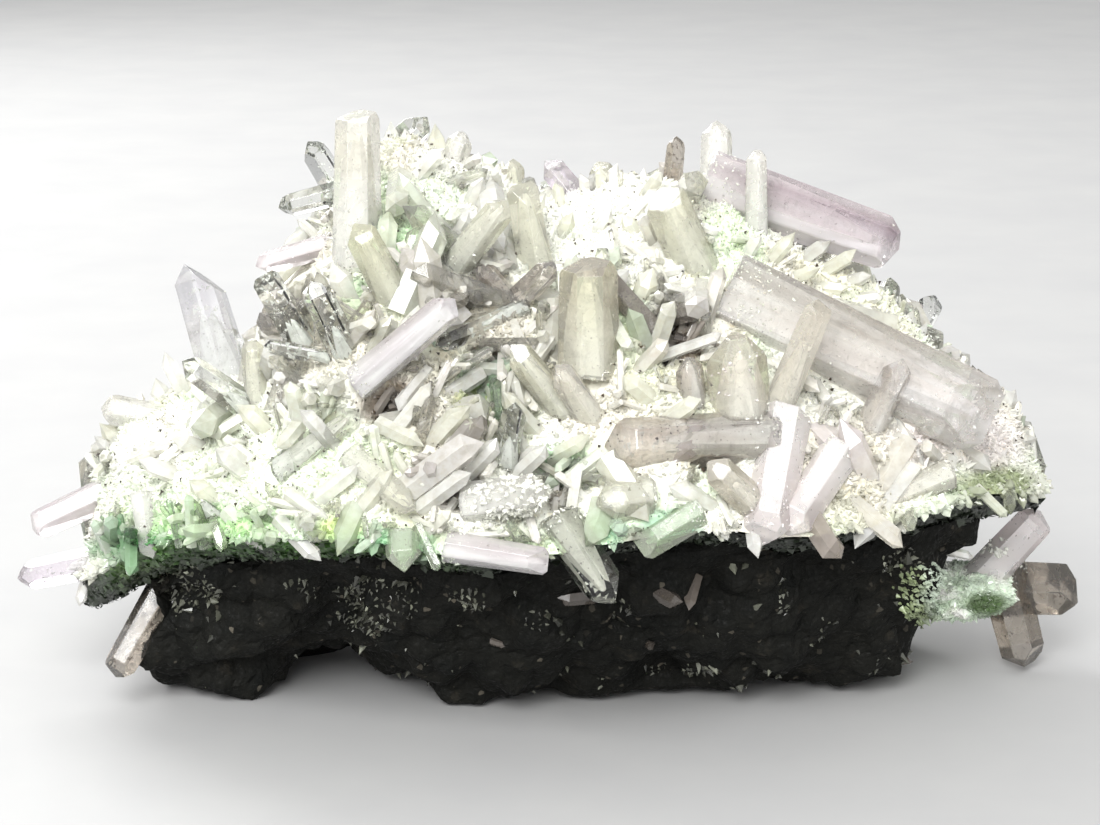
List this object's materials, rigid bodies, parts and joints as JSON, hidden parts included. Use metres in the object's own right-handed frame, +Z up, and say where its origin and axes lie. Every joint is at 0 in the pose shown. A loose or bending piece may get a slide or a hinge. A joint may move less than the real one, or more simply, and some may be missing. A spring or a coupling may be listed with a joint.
{
  "type": "fuchsite with quartz cluster",
  "caption": "Free-standing mineral specimen: dark host rock with a green mica seam under a two-peaked crust of quartz druse and clear to pinkish quartz crystals.",
  "frame": {"origin": "centre of the specimen's footprint box, on the plane the rock is cut off flat on and rests on", "axes": "+Z up, +X to the right of the front view along the longest extent, -Y towards the viewer"},
  "size_m": [0.1564, 0.0998, 0.0853],
  "materials": {
    "host_rock": "rough, near-black rock with sparkly brown-grey patches of micro druse",
    "fuchsite": "flaky, satin green mica",
    "quartz_druse": "sugary white to pale green, glittering",
    "green_druse": "sugary green, glittering",
    "quartz_clear": "clear, glassy faces",
    "quartz_sage": "translucent sage, glassy faces",
    "quartz_beige": "translucent beige, glassy faces",
    "quartz_pink": "translucent pinkish grey, glassy faces",
    "quartz_lilac": "clear with a faint lavender tint, glassy faces",
    "quartz_milky": "milky white, satin to glassy faces",
    "quartz_smoky": "smoky, dark where it lies in shadow",
    "quartz_green": "green from the fuchsite it grew over"
  },
  "bodies": {
    "root": {"host_rock": "host_rock", "fuchsite_seam": "fuchsite", "quartz_druse_crust": "quartz_druse", "lower_right_druse_lump": "green_druse", "tall_post": "quartz_beige", "peak_side_points": "quartz_clear", "brow_crystal": "quartz_pink", "blunt_sage": "quartz_sage", "top_lying": "quartz_clear", "peak_milky_point": "quartz_milky", "saddle_sage_point": "quartz_sage", "saddle_lavender": "quartz_lilac", "viewer_blunt": "quartz_milky", "translucent_sage": "quartz_sage", "centre_pillar": "quartz_beige", "brown_fan": "quartz_beige", "smoky_top_point": "quartz_smoky", "top_right_point": "quartz_milky", "big_pink": "quartz_pink", "white_finger": "quartz_milky", "blunt_sage_right": "quartz_sage", "big_white_left": "quartz_clear", "wing_pair": "quartz_clear", "left_fan": "quartz_clear", "long_diagonal": "quartz_milky", "left_sage_point": "quartz_sage", "lower_long_pale": "quartz_sage", "wing_end_block": "quartz_milky", "twin_front": "quartz_sage", "centre_slim_clear": "quartz_clear", "hub_cluster": "quartz_lilac", "long_slope": "quartz_pink", "slope_brown_stub": "quartz_beige", "slope_top_point": "quartz_clear", "slope_end_block": "quartz_clear", "rim_clear": "quartz_clear", "dark_green_hex": "quartz_green", "lower_lying": "quartz_milky", "glassy_dark": "quartz_smoky", "white_lump": "quartz_milky", "pale_chunk": "quartz_sage", "lower_pale_green": "quartz_green", "lower_right_lying": "quartz_beige", "edge_small_right": "quartz_clear", "pink_white_left": "quartz_pink", "lavender_left": "quartz_lilac", "rim_white": "quartz_milky", "smoky_lower_left": "quartz_smoky", "right_lump_crystals": "quartz_pink", "back_tall_clear": "quartz_clear", "back_white_pair": "quartz_milky", "back_sage": "quartz_sage", "back_big_lying": "quartz_pink", "back_left_point": "quartz_clear", "back_low_lying": "quartz_beige", "back_low_milky": "quartz_milky", "back_right_point": "quartz_clear"}
  },
  "joints": []
}
